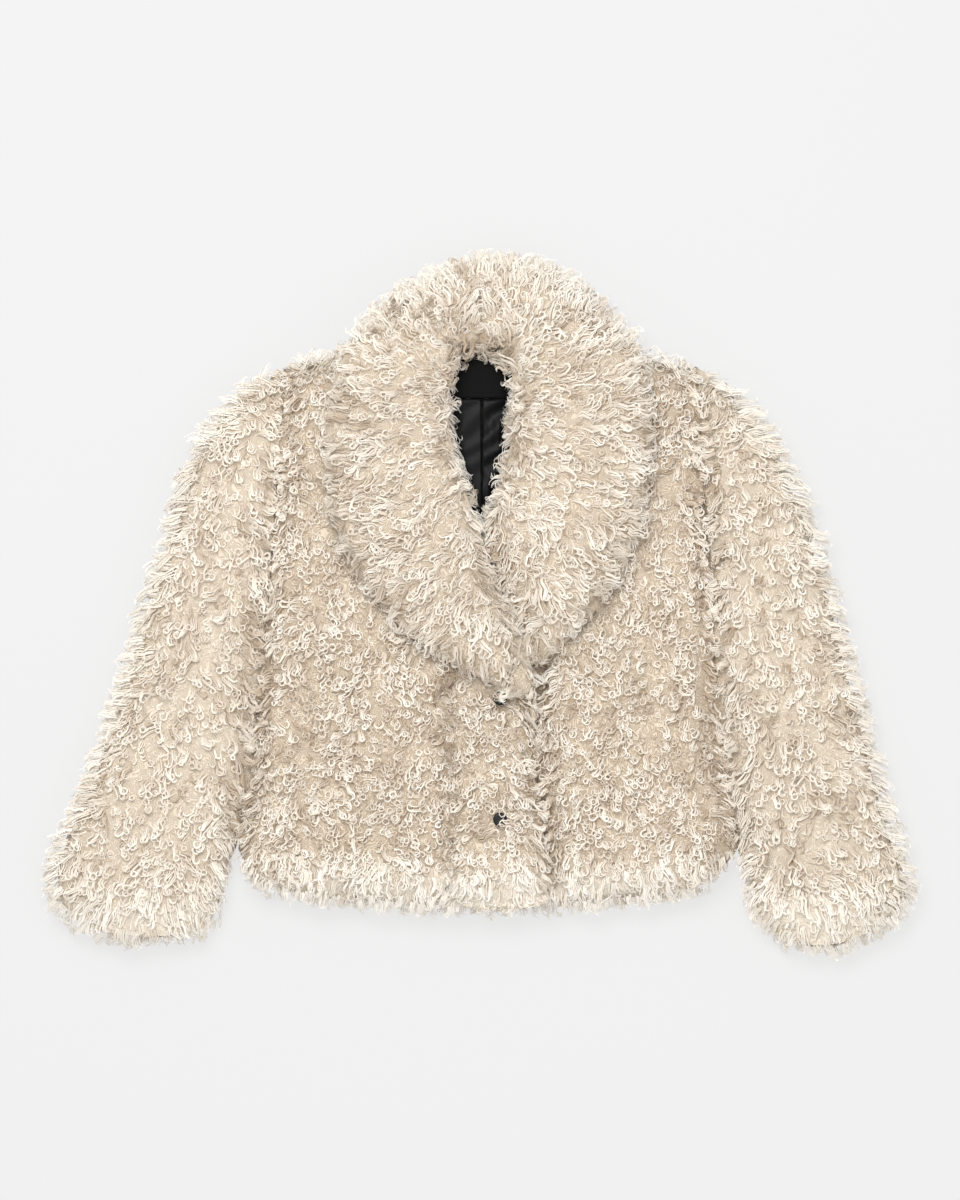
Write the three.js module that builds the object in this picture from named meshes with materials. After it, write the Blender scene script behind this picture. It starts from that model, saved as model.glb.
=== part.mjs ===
// A short faux fur coat with a shawl collar, lying flat on its back, front upwards.
// Millimetres, +Z up. +Y runs from the hem to the neck, +X to the wearer's left.
// The fur fabric is a thick wall: a knitted backing with its pile, out to the fur's tips.

import * as THREE from 'three';

// Layers, from the floor up
const backHeight = 28;          // back panel with its pile pressed under it
const liningLift = 0.35;        // lining above the back
const liningWall = 1.3;
const frontUnder = 30.6;        // underside of the fronts, just above the lining
const seamUnder = 28.4;         // underside of the fronts at their seams with the back
const frontHeight = 66;         // top of the fronts' pile
const upperHeight = 69;         // the upper front's pile, over the under front
const lapHeight = 42;           // the under front, pressed flat beneath the upper one
const sleeveHeight = 64;
const sleeveSlot = 2.2;         // the flattened space inside a sleeve
const slotInset = 28;           // the slot's ends, in from the sleeve's folds
const neckRim = 42;             // the roll's height where it meets the neck facing
const layGap = 0.8;             // between a piece and what it lies on
const lapGap = 3;               // between the upper front and the lapel that it covers
const seamGap = 0.3;            // half of the space between the body and a sleeve

// Edges
const rimHeight = 36;           // top of the pile where it rounds away at an edge
const hemRound = 34;
const flapDrop = 0.5;           // how far the upper front's free edge rounds away
const underLift = 13;           // how far the underside curls up at free edges
const underRound = 26;
const lapRise = 30;             // how far the under pieces take to rise past the upper edge
const underReach = 19;          // clear of the covered pieces this far around each point
const panelSteps = [0, 5, 14, 28];
const foldSteps = [0, 4, 12, 28];

// Collar
const collarLength = 380;       // along the middle of each half
const collarWall = 7;           // height of its edges
const collarOuterRound = 42;
const collarInnerRound = 34;
const collarTail = 40;          // rounding at the lapel's end
const collarReach = 9;
const neckLineY = 215;          // above it the collar goes round behind the neck

// Snap buttons, on the upper front
const buttonRadius = 7;
const buttonThickness = 4;
const buttonRim = 1.2;
const buttonDimple = { depth: 7, radius: 17 };
const buttonPlaces = [
  { name: 'button_lower', x: 19, y: -218 },
  { name: 'button_upper', x: 19, y: -97 },
];

// The line that each side of the body shares with its sleeve: side seam, then armhole
const sideLines = {
  right: { hemX: -243, hemY: -249, topX: -197, topY: 231, bow: 6.3 },
  left: { hemX: 257, hemY: -244, topX: 217, topY: 233, bow: -6.4 },
};
const underarmY = -54;

// Front edge of the upper front and roll line of its lapel, from the hem to the neck
const frontEdge = [
  { y: -302, x: 69 },
  { y: -111, x: 47 },
  { y: -67, x: 52 },
  { y: -27, x: 37 },
  { y: 11, x: 17 },
  { y: 55, x: 3 },
  { y: 101, x: -15 },
  { y: 141, x: -28 },
  { y: 181, x: -34 },
  { y: 229, x: -34 },
  { y: 280, x: -49 },
];

// Lengthwise sections of each panel, side by side: hem end, top end, bow of the line
// between them, and how far the pile rounds away at the top end, from 0 to 1.
const upperFrontSections = [
  { hemX: -243, hemY: -249, topX: -197, topY: 231, bow: 6.3, topDrop: 1 },
  { hemX: -238, hemY: -268, topX: -192, topY: 233, bow: 6, topDrop: 1 },
  { hemX: -226, hemY: -283, topX: -181, topY: 237, bow: 5, topDrop: 1 },
  { hemX: -191, hemY: -294, topX: -151, topY: 247, bow: 4, topDrop: 1 },
  { hemX: -161, hemY: -299, topX: -121, topY: 257, bow: 3, topDrop: 1 },
  { hemX: -126, hemY: -302, topX: -86, topY: 268, bow: 2, topDrop: 1 },
  { hemX: -96, hemY: -304, topX: -49, topY: 280, bow: 1, topDrop: 0.9 },
  { hemX: -76, hemY: -305, topX: -34, topY: 229, bow: 0, topDrop: 0.25 },
  { hemX: -56, hemY: -306, topX: -34, topY: 181, bow: 0, topDrop: 0.12 },
  { hemX: -36, hemY: -307, topX: -28, topY: 141, bow: 0, topDrop: 0.12 },
  { hemX: -19, hemY: -308, topX: -15, topY: 101, bow: 0, topDrop: 0.12 },
  { hemX: -1, hemY: -309, topX: 3, topY: 55, bow: 0, topDrop: 0.12 },
  { hemX: 17, hemY: -309, topX: 17, topY: 11, bow: 0, topDrop: 0.2 },
  { hemX: 34, hemY: -308, topX: 37, topY: -27, bow: 0, topDrop: 0.25 },
  { hemX: 51, hemY: -306, topX: 52, topY: -67, bow: 0, topDrop: 0.4 },
  { hemX: 69, hemY: -302, topX: 47, topY: -111, bow: 0, topDrop: 0.5 },
];
const underFrontSections = [
  { hemX: -26, hemY: -301, topX: -29, topY: -49, bow: 0, topDrop: 0.12 },
  { hemX: -19, hemY: -304, topX: -23, topY: -1, bow: 0, topDrop: 0.12 },
  { hemX: -9, hemY: -306, topX: -12, topY: 27, bow: 0, topDrop: 0.12 },
  { hemX: 5, hemY: -307, topX: 1, topY: 55, bow: 0, topDrop: 0.12 },
  { hemX: 21, hemY: -308, topX: 11, topY: 85, bow: 0, topDrop: 0.12 },
  { hemX: 37, hemY: -307, topX: 21, topY: 115, bow: 0, topDrop: 0.12 },
  { hemX: 53, hemY: -306, topX: 28, topY: 145, bow: 0, topDrop: 0.12 },
  { hemX: 69, hemY: -305, topX: 32, topY: 175, bow: 0, topDrop: 0.12 },
  { hemX: 85, hemY: -304, topX: 33, topY: 201, bow: 0, topDrop: 0.2 },
  { hemX: 101, hemY: -303, topX: 34, topY: 229, bow: 0, topDrop: 0.25 },
  { hemX: 119, hemY: -302, topX: 51, topY: 280, bow: -1, topDrop: 0.9 },
  { hemX: 149, hemY: -300, topX: 87, topY: 268, bow: -2, topDrop: 1 },
  { hemX: 179, hemY: -297, topX: 124, topY: 257, bow: -3, topDrop: 1 },
  { hemX: 209, hemY: -291, topX: 159, topY: 248, bow: -4, topDrop: 1 },
  { hemX: 234, hemY: -281, topX: 187, topY: 240, bow: -5, topDrop: 1 },
  { hemX: 250, hemY: -264, topX: 210, topY: 235, bow: -6, topDrop: 1 },
  { hemX: 257, hemY: -244, topX: 217, topY: 233, bow: -6.4, topDrop: 1 },
];
const backSections = [
  { hemX: -243, hemY: -249, topX: -197, topY: 231, bow: 6.3 },
  { hemX: -238, hemY: -268, topX: -192, topY: 233, bow: 6 },
  { hemX: -226, hemY: -283, topX: -181, topY: 237, bow: 5 },
  { hemX: -191, hemY: -294, topX: -151, topY: 247, bow: 4 },
  { hemX: -126, hemY: -302, topX: -86, topY: 268, bow: 2 },
  { hemX: -96, hemY: -304, topX: -49, topY: 280, bow: 1 },
  { hemX: -40, hemY: -308, topX: -25, topY: 257, bow: 0 },
  { hemX: 0, hemY: -309, topX: 0, topY: 246, bow: 0 },
  { hemX: 40, hemY: -308, topX: 27, topY: 257, bow: 0 },
  { hemX: 110, hemY: -303, topX: 51, topY: 280, bow: -1 },
  { hemX: 149, hemY: -300, topX: 87, topY: 268, bow: -2 },
  { hemX: 209, hemY: -291, topX: 159, topY: 248, bow: -4 },
  { hemX: 234, hemY: -281, topX: 187, topY: 240, bow: -5 },
  { hemX: 250, hemY: -264, topX: 210, topY: 235, bow: -6 },
  { hemX: 257, hemY: -244, topX: 217, topY: 233, bow: -6.4 },
];

// Cross sections of each sleeve, from the armhole to the cuff: the outer fold, the inner
// fold's y and its distance from the body, the crest, how far the folds round away, and
// how far the section bulges towards the cuff.
const rightSleeveSections = [
  { outerX: -197, outerY: 231, innerY: -52, away: 0, crest: 60, outFall: 0.85, inFall: 0.5, bulge: 0 },
  { outerX: -229, outerY: 217, innerY: -66, away: 0, crest: 62, outFall: 0.95, inFall: 0.65, bulge: 0 },
  { outerX: -262, outerY: 190, innerY: -80, away: 0, crest: 64, outFall: 1, inFall: 0.8, bulge: 0 },
  { outerX: -289, outerY: 144, innerY: -96, away: 0, crest: 64, outFall: 1, inFall: 0.9, bulge: 0 },
  { outerX: -314, outerY: 68, innerY: -116, away: 0, crest: 64, outFall: 1, inFall: 0.95, bulge: 0 },
  { outerX: -335, outerY: 1, innerY: -138, away: 0, crest: 62, outFall: 1, inFall: 0.95, bulge: 0 },
  { outerX: -354, outerY: -59, innerY: -162, away: 0, crest: 62, outFall: 1, inFall: 0.95, bulge: 0 },
  { outerX: -373, outerY: -119, innerY: -190, away: 0, crest: 64, outFall: 1, inFall: 0.95, bulge: 0 },
  { outerX: -396, outerY: -179, innerY: -220, away: 1, crest: 64, outFall: 1, inFall: 0.95, bulge: 0 },
  { outerX: -417, outerY: -229, innerY: -250, away: 4, crest: 64, outFall: 1, inFall: 0.95, bulge: 0 },
  { outerX: -431, outerY: -271, innerY: -284, away: 6, crest: 64, outFall: 1, inFall: 0.95, bulge: 0 },
  { outerX: -426, outerY: -302, innerY: -311, away: 9, crest: 56, outFall: 0.85, inFall: 0.8, bulge: 7 },
  { outerX: -403, outerY: -326, innerY: -331, away: 20, crest: 42, outFall: 1, inFall: 1, bulge: 13 },
];
const leftSleeveSections = [
  { outerX: 217, outerY: 233, innerY: -52, away: 0, crest: 60, outFall: 0.85, inFall: 0.5, bulge: 0 },
  { outerX: 243, outerY: 215, innerY: -64, away: 0, crest: 62, outFall: 0.95, inFall: 0.65, bulge: 0 },
  { outerX: 269, outerY: 193, innerY: -77, away: 0, crest: 64, outFall: 1, inFall: 0.8, bulge: 0 },
  { outerX: 298, outerY: 153, innerY: -92, away: 0, crest: 64, outFall: 1, inFall: 0.9, bulge: 0 },
  { outerX: 321, outerY: 103, innerY: -110, away: 0, crest: 64, outFall: 1, inFall: 0.95, bulge: 0 },
  { outerX: 339, outerY: 54, innerY: -128, away: 0, crest: 62, outFall: 1, inFall: 0.95, bulge: 0 },
  { outerX: 355, outerY: -2, innerY: -149, away: 0, crest: 62, outFall: 1, inFall: 0.95, bulge: 0 },
  { outerX: 370, outerY: -59, innerY: -172, away: 0, crest: 64, outFall: 1, inFall: 0.95, bulge: 0 },
  { outerX: 385, outerY: -119, innerY: -198, away: 0, crest: 64, outFall: 1, inFall: 0.95, bulge: 0 },
  { outerX: 400, outerY: -179, innerY: -226, away: 1, crest: 64, outFall: 1, inFall: 0.95, bulge: 0 },
  { outerX: 415, outerY: -236, innerY: -256, away: 1, crest: 64, outFall: 1, inFall: 0.95, bulge: 0 },
  { outerX: 429, outerY: -279, innerY: -288, away: 2, crest: 64, outFall: 1, inFall: 0.95, bulge: 0 },
  { outerX: 421, outerY: -311, innerY: -319, away: 8, crest: 56, outFall: 0.85, inFall: 0.8, bulge: 7 },
  { outerX: 390, outerY: -334, innerY: -339, away: 30, crest: 42, outFall: 1, inFall: 1, bulge: 13 },
];

// Cross sections of each half of the collar, from the centre back to the lapel's end:
// outer edge, roll line and crest.
const rightCollarSections = [
  { outerX: 0, outerY: 343, innerX: 0, innerY: 249, crest: 82 },
  { outerX: -41, outerY: 333, innerX: -15, innerY: 247, crest: 83 },
  { outerX: -81, outerY: 311, innerX: -25, innerY: 239, crest: 87 },
  { outerX: -116, outerY: 279, innerX: -31, innerY: 223, crest: 92 },
  { outerX: -139, outerY: 241, innerX: -34, innerY: 201, crest: 96 },
  { outerX: -151, outerY: 191, innerX: -33, innerY: 176, crest: 97 },
  { outerX: -154, outerY: 141, innerX: -28, innerY: 146, crest: 96 },
  { outerX: -147, outerY: 86, innerX: -19, innerY: 116, crest: 95 },
  { outerX: -129, outerY: 41, innerX: -7, innerY: 86, crest: 96 },
  { outerX: -103, outerY: 1, innerX: 2, innerY: 56, crest: 97 },
  { outerX: -69, outerY: -34, innerX: 11, innerY: 26, crest: 98 },
  { outerX: -28, outerY: -62, innerX: 28, innerY: -12, crest: 97 },
  { outerX: 12, outerY: -81, innerX: 44, innerY: -49, crest: 93 },
  { outerX: 30, outerY: -91, innerX: 50, innerY: -72, crest: 86 },
  { outerX: 40, outerY: -97, innerX: 48, innerY: -88, crest: 80 },
];
const leftCollarSections = [
  { outerX: 0, outerY: 343, innerX: 0, innerY: 249, crest: 82 },
  { outerX: 44, outerY: 342, innerX: 15, innerY: 247, crest: 83 },
  { outerX: 84, outerY: 325, innerX: 25, innerY: 239, crest: 87 },
  { outerX: 119, outerY: 298, innerX: 31, innerY: 223, crest: 92 },
  { outerX: 147, outerY: 264, innerX: 34, innerY: 201, crest: 96 },
  { outerX: 164, outerY: 223, innerX: 33, innerY: 176, crest: 97 },
  { outerX: 169, outerY: 173, innerX: 29, innerY: 146, crest: 96 },
  { outerX: 166, outerY: 119, innerX: 22, innerY: 116, crest: 95 },
  { outerX: 155, outerY: 66, innerX: 12, innerY: 86, crest: 95 },
  { outerX: 134, outerY: 21, innerX: 2, innerY: 56, crest: 94 },
  { outerX: 107, outerY: -16, innerX: -11, innerY: 26, crest: 92 },
  { outerX: 79, outerY: -44, innerX: -18, innerY: 1, crest: 89 },
  { outerX: 59, outerY: -62, innerX: -20, innerY: -18, crest: 86 },
];

// Lining in the neck opening, in two halves, and the band above it
const liningSections = [
  { y: 203, left: -47, right: 47 },
  { y: 175, left: -46, right: 45 },
  { y: 145, left: -41, right: 41 },
  { y: 115, left: -33, right: 34 },
  { y: 85, left: -24, right: 26 },
  { y: 60, left: -18, right: 20 },
  { y: 40, left: -15, right: 17 },
];
const facingSections = [
  { y: 203.6, half: 47, curve: 0 },
  { y: 218, half: 45, curve: 0.004 },
  { y: 232, half: 42, curve: 0.009 },
  { y: 244.5, half: 38, curve: 0.0135 },
];
const liningSeamX = 1;
const liningPuff = 4;
const liningHidden = 16;        // how far the lining runs on under the fronts

// Soft folds: start, end, depth and half width of each trough
const folds = [
  { x1: -225, y1: -10, x2: -216, y2: -100, depth: 9, width: 16 },
  { x1: -172, y1: -60, x2: -176, y2: -150, depth: 11, width: 17 },
  { x1: -205, y1: -150, x2: -150, y2: -190, depth: 5, width: 14 },
  { x1: -132, y1: -125, x2: -70, y2: -180, depth: 7, width: 16 },
  { x1: -60, y1: -112, x2: 0, y2: -122, depth: 6, width: 14 },
  { x1: -128, y1: -230, x2: -60, y2: -205, depth: 5, width: 16 },
  { x1: 60, y1: -130, x2: 72, y2: -185, depth: 6, width: 14 },
  { x1: 172, y1: -50, x2: 182, y2: -145, depth: 11, width: 18 },
  { x1: 232, y1: -55, x2: 224, y2: -150, depth: 9, width: 16 },
  { x1: 205, y1: -205, x2: 238, y2: -250, depth: 6, width: 14 },
  { x1: -262, y1: 60, x2: -240, y2: -20, depth: 6, width: 18 },
  { x1: -290, y1: -150, x2: -252, y2: -190, depth: 6, width: 16 },
  { x1: -408, y1: -245, x2: -350, y2: -262, depth: 5, width: 15 },
  { x1: 278, y1: 90, x2: 252, y2: 0, depth: 6, width: 18 },
  { x1: 330, y1: -215, x2: 395, y2: -225, depth: 6, width: 16 },
  { x1: 262, y1: -262, x2: 320, y2: -282, depth: 7, width: 15 },
  { x1: 20, y1: 318, x2: -8, y2: 262, depth: 7, width: 16 },
  { x1: -70, y1: 215, x2: -72, y2: 120, depth: 4, width: 22 },
  { x1: 96, y1: 150, x2: 80, y2: 60, depth: 4, width: 22 },
];

// Shape helpers

function fall(distance, radius) {
  // One at an edge, nothing past the radius, on a quarter circle
  const inward = Math.min(Math.max(distance, 0) / radius, 1);
  return 1 - Math.sqrt(1 - (1 - inward) ** 2);
}

function clamp01(value) {
  return Math.min(Math.max(value, 0), 1);
}

function smooth(value) {
  const t = clamp01(value);
  return t * t * (3 - 2 * t);
}

// A row between the rows of a table, smooth in every column
function rowAt(rows, t) {
  const place = clamp01(t) * (rows.length - 1);
  const index = Math.min(Math.floor(place), rows.length - 2);
  const part = place - index;
  const before = rows[Math.max(index - 1, 0)];
  const from = rows[index];
  const to = rows[index + 1];
  const after = rows[Math.min(index + 2, rows.length - 1)];
  const row = {};
  for (const key of Object.keys(from)) {
    const rise = (to[key] - before[key]) / 2;
    const leave = (after[key] - from[key]) / 2;
    const step = to[key] - from[key];
    const square = part * part;
    const cube = square * part;
    row[key] = from[key] + rise * (cube - 2 * square + part)
      + step * (3 * square - 2 * cube) + leave * (cube - square);
  }
  return row;
}

function edgeX(y) {
  for (let i = 0; i < frontEdge.length - 1; i += 1) {
    const from = frontEdge[i];
    const to = frontEdge[i + 1];
    if (y <= to.y) {
      return from.x + (to.x - from.x) * clamp01((y - from.y) / (to.y - from.y));
    }
  }
  return frontEdge[frontEdge.length - 1].x;
}

// The shared side line at a height y, past its ends too
function sideX(line, y) {
  const t = (y - line.hemY) / (line.topY - line.hemY);
  return line.hemX + (line.topX - line.hemX) * t + 4 * t * (1 - t) * line.bow;
}

function sideDrop(y) {
  // The pile is nearly level across the armhole seam, and rounds away below the underarm
  return 0.3 + 0.7 * smooth((underarmY + 30 - y) / 120);
}

// The pile's height over a plan, rounded away at its edges: each edge has a distance and
// a share of the full fall
function pileTop(crest, plan, edges) {
  let rise = 1;
  for (const { distance, share, radius = hemRound } of edges) {
    rise *= 1 - share * fall(distance, radius);
  }
  return rimHeight + (crest - rimHeight - foldDepth(plan.x, plan.y)) * rise;
}

function foldDepth(x, y) {
  let depth = 0;
  for (const fold of folds) {
    const runX = fold.x2 - fold.x1;
    const runY = fold.y2 - fold.y1;
    const along = ((x - fold.x1) * runX + (y - fold.y1) * runY) / (runX ** 2 + runY ** 2);
    const near = clamp01(along);
    const away = Math.hypot(x - fold.x1 - near * runX, y - fold.y1 - near * runY);
    const taper = 0.35 + 0.65 * Math.sin(Math.PI * (0.15 + 0.7 * near));
    depth += fold.depth * taper * Math.exp(-((away / fold.width) ** 2));
  }
  return depth;
}

function dimpleDepth(x, y) {
  let depth = 0;
  for (const place of buttonPlaces) {
    const away = Math.hypot(x - place.x, y - place.y);
    depth += buttonDimple.depth * Math.exp(-((away / buttonDimple.radius) ** 4));
  }
  return depth;
}

// Places along a section: close together at its rounded ends, even between
function spread(length, endSteps, count) {
  const inset = endSteps.map((step) => Math.min(step, length * 0.3) / length);
  const last = inset[inset.length - 1];
  const places = [...inset];
  for (let i = 1; i <= count; i += 1) {
    places.push(last + (1 - 2 * last) * i / (count + 1));
  }
  for (const step of [...inset].reverse()) {
    places.push(1 - step);
  }
  return places;
}

// Solids

class Solid {
  constructor() {
    this.points = [];
    this.faces = [];
  }

  addRing(ring) {
    const first = this.points.length;
    this.points.push(...ring);
    return ring.map((point, i) => first + i);
  }

  addBand(from, to) {
    for (let i = 0; i < from.length; i += 1) {
      const next = (i + 1) % from.length;
      this.faces.push([from[i], from[next], to[next]], [from[i], to[next], to[i]]);
    }
  }

  // A wall's end face: a strip from the ring's upper points down to its lower ones. Rings
  // run over the top and back below, so the first end's faces need no turning.
  closeEnd(ring, overCount, flip) {
    const over = ring.slice(0, overCount);
    const under = ring.slice(overCount).reverse();
    const start = this.points[ring[0]];
    const along = (index) => {
      const point = this.points[index];
      return Math.hypot(point.x - start.x, point.y - start.y);
    };
    let i = 0;
    let j = 0;
    while (i < over.length - 1 || j < under.length - 1) {
      const overNext = i < over.length - 1 ? along(over[i + 1]) : Infinity;
      const underNext = j < under.length - 1 ? along(under[j + 1]) : Infinity;
      const third = overNext <= underNext ? over[i + 1] : under[j + 1];
      const face = [over[i], under[j], third];
      this.faces.push(flip ? face.reverse() : face);
      if (overNext <= underNext) {
        i += 1;
      } else {
        j += 1;
      }
    }
  }

  // A tube's end face, flat in a vertical plane, with a hole for its slot
  openEnd(outer, inner, flip) {
    const start = this.points[outer[0]];
    const flat = (index) => {
      const point = this.points[index];
      return new THREE.Vector2(Math.hypot(point.x - start.x, point.y - start.y), point.z);
    };
    const indices = [...outer, ...inner];
    for (const [a, b, c] of THREE.ShapeUtils.triangulateShape(outer.map(flat), [inner.map(flat)])) {
      const face = [indices[a], indices[b], indices[c]];
      this.faces.push(flip ? face.reverse() : face);
    }
  }

  volume() {
    const normal = new THREE.Vector3();
    let sum = 0;
    for (const [a, b, c] of this.faces) {
      normal.crossVectors(this.points[b], this.points[c]);
      sum += this.points[a].dot(normal) / 6;
    }
    return sum;
  }

  geometry() {
    const outward = this.volume() > 0;
    const order = this.faces.flatMap((face) => (outward ? face : [...face].reverse()));
    const geometry = new THREE.BufferGeometry();
    geometry.setAttribute('position', new THREE.Float32BufferAttribute(
      this.points.flatMap((point) => point.toArray()), 3));
    geometry.setIndex(order);
    geometry.computeVertexNormals();
    return geometry;
  }
}

// A wall through its section rings, closed at both ends
function loftWall(rings, overCount) {
  const solid = new Solid();
  const bands = rings.map((ring) => solid.addRing(ring));
  for (let i = 0; i < bands.length - 1; i += 1) {
    solid.addBand(bands[i], bands[i + 1]);
  }
  solid.closeEnd(bands[0], overCount, false);
  solid.closeEnd(bands[bands.length - 1], overCount, true);
  return solid.geometry();
}

// A tube with its own inner wall, open at both ends
function loftTube(outerRings, innerRings) {
  const solid = new Solid();
  const outside = outerRings.map((ring) => solid.addRing(ring));
  const inside = innerRings.map((ring) => solid.addRing(ring));
  const last = outside.length - 1;
  for (let i = 0; i < last; i += 1) {
    solid.addBand(outside[i], outside[i + 1]);
    solid.addBand(inside[i + 1], inside[i]);
  }
  solid.openEnd(outside[0], inside[0], false);
  solid.openEnd(outside[last], inside[last], true);
  return solid.geometry();
}

// How high the pieces already laid down reach at a place in plan
class LaidPieces {
  constructor(cell = 16) {
    this.cell = cell;
    this.bins = new Map();
  }

  key(x, y) {
    return `${Math.floor(x / this.cell)},${Math.floor(y / this.cell)}`;
  }

  add(geometry) {
    const position = geometry.getAttribute('position');
    const order = geometry.getIndex().array;
    for (let i = 0; i < order.length; i += 3) {
      const corners = [0, 1, 2].map((n) => (
        new THREE.Vector3().fromBufferAttribute(position, order[i + n])));
      const box = new THREE.Box3().setFromPoints(corners);
      for (let x = box.min.x; x < box.max.x + this.cell; x += this.cell) {
        for (let y = box.min.y; y < box.max.y + this.cell; y += this.cell) {
          const key = this.key(x, y);
          this.bins.set(key, [...(this.bins.get(key) ?? []), corners]);
        }
      }
    }
  }

  topAt(x, y) {
    let top = 0;
    for (const [a, b, c] of this.bins.get(this.key(x, y)) ?? []) {
      const area = (b.x - a.x) * (c.y - a.y) - (c.x - a.x) * (b.y - a.y);
      if (Math.abs(area) > 1e-6) {
        const u = ((b.x - x) * (c.y - y) - (c.x - x) * (b.y - y)) / area;
        const v = ((c.x - x) * (a.y - y) - (a.x - x) * (c.y - y)) / area;
        const w = 1 - u - v;
        if (u >= 0 && v >= 0 && w >= 0) {
          top = Math.max(top, u * a.z + v * b.z + w * c.z);
        }
      }
    }
    return top;
  }

  // The highest point within reach, so that a piece laid here clears what is under it.
  // covers says where the piece lies, because what is past its edge isn't under it.
  topNear(x, y, reach, covers = () => true) {
    let top = 0;
    for (const dx of [-1, -0.5, 0, 0.5, 1]) {
      for (const dy of [-1, -0.5, 0, 0.5, 1]) {
        const nearX = x + dx * reach;
        const nearY = y + dy * reach;
        if (covers(nearX, nearY)) {
          top = Math.max(top, this.topAt(nearX, nearY));
        }
      }
    }
    return top;
  }
}

// The points of a section's upper side
function ringCount(shape) {
  return 2 * shape.endSteps.length + shape.overCount;
}

// One section of a wall: over the top from its start to its end, and back below
function wallRing(planAt, length, shape) {
  const over = spread(length, shape.endSteps, shape.overCount);
  const under = spread(length, shape.endSteps, shape.underCount);
  const ring = [];
  for (const s of over) {
    const plan = planAt(s);
    ring.push(new THREE.Vector3(plan.x, plan.y, shape.top(plan, s * length, (1 - s) * length)));
  }
  for (const s of under.reverse()) {
    const plan = planAt(s);
    ring.push(new THREE.Vector3(plan.x, plan.y, shape.low(plan, s * length, (1 - s) * length)));
  }
  return ring;
}

// Body panels, through lengthwise sections from the hem to the shoulder or neck

function panelPlan(row, inset) {
  return (s) => new THREE.Vector2(
    row.hemX + (row.topX - row.hemX) * s + 4 * s * (1 - s) * row.bow + inset,
    row.hemY + (row.topY - row.hemY) * s,
  );
}

function panelRings(sections, count, insetAt, shapeFor) {
  const rings = [];
  for (let i = 0; i < count; i += 1) {
    const t = i / (count - 1);
    const row = rowAt(sections, t);
    const length = Math.hypot(row.topX - row.hemX, row.topY - row.hemY);
    rings.push(wallRing(panelPlan(row, insetAt(t)), length, shapeFor(row, t)));
  }
  return rings;
}

function sideInset(t, sideAtStart, sideAtEnd) {
  // The side seams stand back by the seam gap
  return (sideAtStart && t === 0 ? seamGap : 0) - (sideAtEnd && t === 1 ? seamGap : 0);
}

function frontUnderside(atStart, atEnd) {
  return frontUnder - (frontUnder - seamUnder) * Math.max(fall(atStart, 14), fall(atEnd, 14));
}

function backPanel() {
  const sideRise = (x, y) => Math.max(
    fall(x - sideX(sideLines.right, y), underRound),
    fall(sideX(sideLines.left, y) - x, underRound),
  );
  const shape = {
    endSteps: foldSteps,
    overCount: 4,
    underCount: 8,
    top: () => backHeight,
    low: (plan, atHem, atTop) => underLift * Math.max(
      fall(atHem, underRound), fall(atTop, underRound), sideRise(plan.x, plan.y)),
  };
  const rings = panelRings(backSections, 25, (t) => sideInset(t, true, true), () => shape);
  return loftWall(rings, ringCount(shape));
}

// How far past the upper front's edge the pieces under it start to rise
function lapStart(y) {
  return 4 + 7 * smooth((y + 155) / 30);
}

function underFront() {
  const steps = { endSteps: panelSteps, overCount: 22, underCount: 8 };
  const shapeFor = (row) => ({
    ...steps,
    top: (plan, atHem, atTop) => {
      const side = sideX(sideLines.left, plan.y) - plan.x;
      const open = pileTop(frontHeight, plan, [
        { distance: atHem, share: 1 },
        { distance: atTop, share: row.topDrop },
        { distance: side, share: sideDrop(plan.y) },
      ]);
      const past = plan.x - edgeX(plan.y) - lapStart(plan.y);
      const pressed = Math.min(lapHeight, open);
      return past < 0 ? pressed : pressed + (open - pressed) * (1 - fall(past, lapRise));
    },
    low: (plan, atHem, atTop) => frontUnderside(atHem, row.topDrop > 0.7 ? atTop : hemRound),
  });
  const rings = panelRings(underFrontSections, 23, (t) => sideInset(t, false, true), shapeFor);
  return loftWall(rings, ringCount(steps));
}

// Plan places that the upper front and its lapel cover
function inUpperFront(x, y) {
  return x < edgeX(y) + 1.5;
}

function upperFront(laid) {
  const steps = { endSteps: panelSteps, overCount: 22, underCount: 14 };
  const below = (plan) => laid.topNear(plan.x, plan.y, underReach, inUpperFront);
  const shapeFor = (row) => ({
    ...steps,
    top: (plan, atHem, atTop) => {
      const side = plan.x - sideX(sideLines.right, plan.y);
      const edge = plan.y < frontEdge[1].y ? edgeX(plan.y) - plan.x : hemRound;
      const open = pileTop(upperHeight, plan, [
        { distance: atHem, share: 1 },
        { distance: atTop, share: row.topDrop },
        { distance: side, share: sideDrop(plan.y) },
        { distance: edge, share: flapDrop, radius: underRound },
      ]);
      return Math.max(open - dimpleDepth(plan.x, plan.y), below(plan) + 8);
    },
    low: (plan, atHem, atTop) => Math.max(
      frontUnderside(atHem, row.topDrop > 0.7 ? atTop : hemRound),
      below(plan) + lapGap),
  });
  const rings = panelRings(upperFrontSections, 23, (t) => sideInset(t, true, false), shapeFor);
  return loftWall(rings, ringCount(steps));
}

// Sleeves, flattened tubes from the armhole to the cuff

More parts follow.
